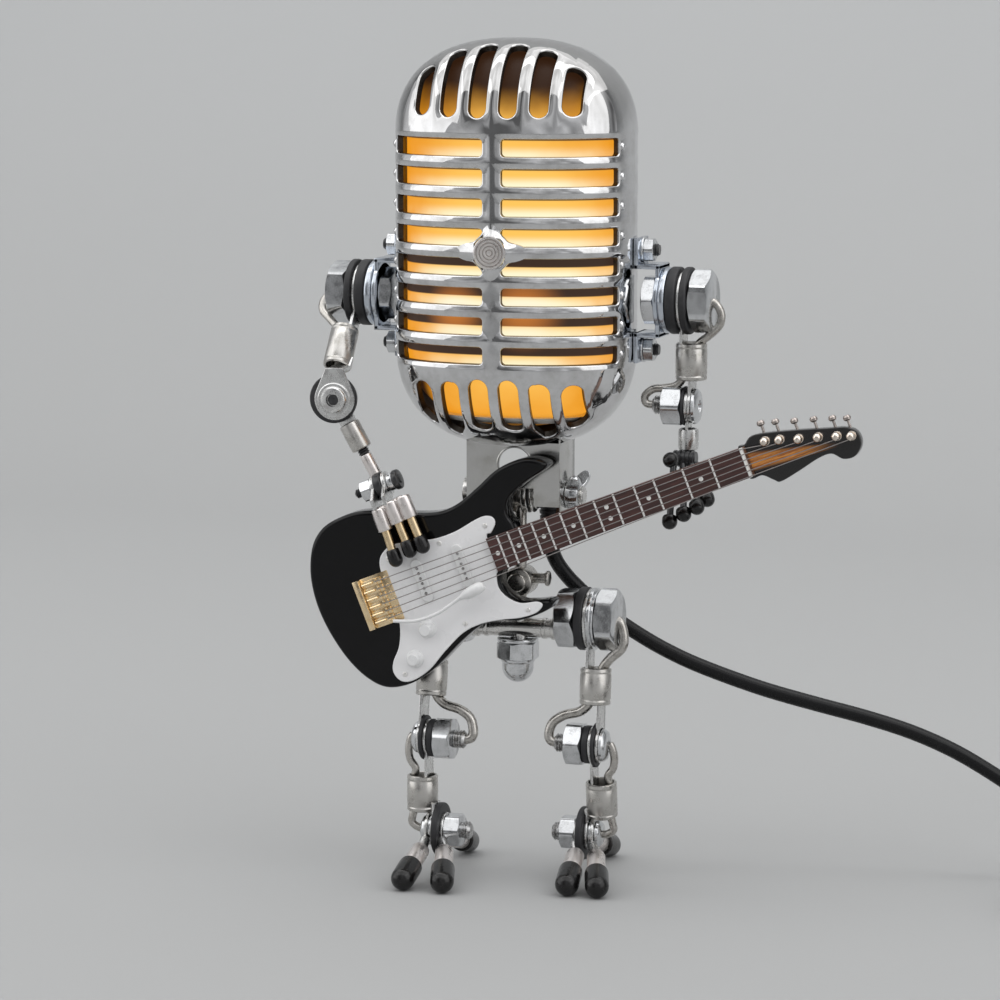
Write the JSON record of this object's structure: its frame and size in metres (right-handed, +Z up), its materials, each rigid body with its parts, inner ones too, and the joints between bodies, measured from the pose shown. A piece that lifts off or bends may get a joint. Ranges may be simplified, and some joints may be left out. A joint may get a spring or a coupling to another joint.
{
  "type": "robot shaped desk lamp",
  "caption": "Robot desk lamp with a slotted chrome microphone head that glows amber, limbs of bolts, ferrules and bent rod, playing a miniature guitar.",
  "frame": {"origin": "the middle of the box round the lamp without its cord, at table level", "axes": "+Z up; the robot faces -Y and +X is the robot's left, where the guitar's headstock points"},
  "size_m": [0.3113, 0.096, 0.2723],
  "materials": {
    "head_chrome": "smooth bright chrome plate on die-cast halves",
    "amber_diffuser": "warm amber translucent diffuser, lit from inside",
    "frosted_bulb": "frosted glass globe",
    "white_ceramic": "white glazed lamp holder",
    "zinc_plate": "bright zinc plated sheet with fine rolling marks",
    "steel_bolt": "machined bright steel hexagons and bent rod",
    "dark_steel": "darker rolled steel with light wear",
    "stainless_lug": "crimped ferrules and flat ring lugs, satin",
    "black_rubber": "soft matte black rubber",
    "black_plastic": "matte black moulded plastic",
    "red_plastic": "gloss red rocker",
    "brass": "turned brass",
    "guitar_black": "piano black lacquer",
    "guard_white": "white three-ply plastic",
    "guitar_maple": "varnished orange-brown wood",
    "guitar_rosewood": "dark red-brown wood",
    "gold_plate": "gold plated metal",
    "black_cord": "matte black sheath"
  },
  "bodies": {
    "torso": {"spine_post": "dark_steel", "neck_pivot_bolt": "steel_bolt", "pelvis_tube": "dark_steel", "hip_inner_nuts": "steel_bolt", "acorn_nut": "steel_bolt", "guitar_stud": "dark_steel", "guitar_body": "guitar_black", "guitar_pickguard": "guard_white", "guitar_controls": "guard_white", "guitar_neck": "guitar_maple", "guitar_fretboard": "guitar_rosewood", "guitar_bridge": "gold_plate", "guitar_strings": "steel_bolt", "guitar_tuners": "steel_bolt", "cord_gland": "black_plastic", "power_cord": "black_cord", "cord_coil": "black_cord", "mains_plug": "black_plastic"},
    "head": {"head_front_shell": "head_chrome", "head_rear_shell": "head_chrome", "light_diffuser": "amber_diffuser", "medallion": "head_chrome", "lamp_holder": "white_ceramic", "bulb": "frosted_bulb", "neck_yoke": "zinc_plate", "shoulder_brackets": "zinc_plate", "bracket_fasteners": "steel_bolt", "switch_housing": "black_plastic"},
    "rocker": {"switch_rocker": "red_plastic"},
    "wing_nut": {"neck_wing_nut": "zinc_plate"},
    "right_upper_arm": {"right_shoulder_bolt": "steel_bolt", "right_shoulder_washers": "black_rubber", "right_upper_arm_lug": "stainless_lug", "right_elbow_bolt": "steel_bolt"},
    "right_forearm": {"right_forearm_lug": "stainless_lug", "right_wrist_stud": "black_plastic"},
    "right_hand_unit": {"right_hand": "steel_bolt", "right_finger_pins": "brass", "right_finger_tips": "black_rubber"},
    "left_upper_arm": {"left_shoulder_bolt": "steel_bolt", "left_shoulder_washers": "black_rubber", "left_upper_arm_lug": "stainless_lug", "left_elbow_bolt": "steel_bolt"},
    "left_forearm": {"left_forearm_lug": "stainless_lug", "left_hand": "dark_steel", "left_finger_tips": "black_rubber"},
    "right_thigh": {"right_hip_bolt": "steel_bolt", "right_leg_washers": "black_rubber", "right_thigh_ferrule": "stainless_lug", "right_knee_bolt": "steel_bolt"},
    "right_shin": {"right_shin_ferrule": "stainless_lug"},
    "right_foot_unit": {"right_foot": "steel_bolt", "right_toe_caps": "black_rubber"},
    "left_thigh": {"left_hip_bolt": "steel_bolt", "left_leg_washers": "black_rubber", "left_thigh_ferrule": "stainless_lug", "left_knee_bolt": "steel_bolt"},
    "left_shin": {"left_shin_ferrule": "stainless_lug"},
    "left_foot_unit": {"left_foot": "steel_bolt", "left_toe_caps": "black_rubber"}
  },
  "joints": [
    {"name": "neck_tilt", "type": "hinge", "parent": "torso", "child": "head", "pos_m": [-0.02332, 0.003, 0.1255], "axis": [-1, 0, 0], "range_deg": [0, 12]},
    {"name": "wing_nut_spin", "type": "hinge", "parent": "torso", "child": "wing_nut", "pos_m": [-0.00743, 0.003, 0.1255], "axis": [1, 0, 0], "continuous": true},
    {"name": "switch_rocker_tilt", "type": "hinge", "parent": "head", "child": "rocker", "pos_m": [-0.02482, 0.0287, 0.15856], "axis": [1, 0, 0], "range_deg": [-9, 9]},
    {"name": "right_shoulder", "type": "hinge", "parent": "head", "child": "right_upper_arm", "pos_m": [-0.07483, 0.008, 0.189], "axis": [-1, 0, 0], "range_deg": [0, 60]},
    {"name": "right_elbow", "type": "hinge", "parent": "right_upper_arm", "child": "right_forearm", "pos_m": [-0.08063, -0.017, 0.1564], "axis": [0, -1, 0], "range_deg": [-2, 30]},
    {"name": "right_wrist", "type": "hinge", "parent": "right_forearm", "child": "right_hand_unit", "pos_m": [-0.06502, -0.0144, 0.1286], "axis": [-0.9298, 0, -0.3681], "range_deg": [0, 40]},
    {"name": "left_shoulder", "type": "hinge", "parent": "head", "child": "left_upper_arm", "pos_m": [0.02517, 0.008, 0.189], "axis": [-1, 0, 0], "range_deg": [-45, 0]},
    {"name": "left_elbow", "type": "hinge", "parent": "left_upper_arm", "child": "left_forearm", "pos_m": [0.03118, 0.008, 0.1552], "axis": [-1, 0, 0], "range_deg": [-40, 0]},
    {"name": "right_hip", "type": "hinge", "parent": "torso", "child": "right_thigh", "pos_m": [-0.04482, 0.003, 0.0853], "axis": [-1, 0, 0], "range_deg": [-20, 3]},
    {"name": "right_knee", "type": "hinge", "parent": "right_thigh", "child": "right_shin", "pos_m": [-0.05282, -0.005, 0.0446], "axis": [-1, 0, 0], "range_deg": [-45, 10]},
    {"name": "right_ankle", "type": "hinge", "parent": "right_shin", "child": "right_foot_unit", "pos_m": [-0.04883, -0.005, 0.0143], "axis": [-1, 0, 0], "range_deg": [-20, 20]},
    {"name": "left_hip", "type": "hinge", "parent": "torso", "child": "left_thigh", "pos_m": [-0.00483, 0.003, 0.0853], "axis": [-1, 0, 0], "range_deg": [-20, 20]},
    {"name": "left_knee", "type": "hinge", "parent": "left_thigh", "child": "left_shin", "pos_m": [0.00317, -0.001, 0.0446], "axis": [-1, 0, 0], "range_deg": [-45, 10]},
    {"name": "left_ankle", "type": "hinge", "parent": "left_shin", "child": "left_foot_unit", "pos_m": [-0.00082, 0.003, 0.0143], "axis": [-1, 0, 0], "range_deg": [-20, 20]}
  ]
}
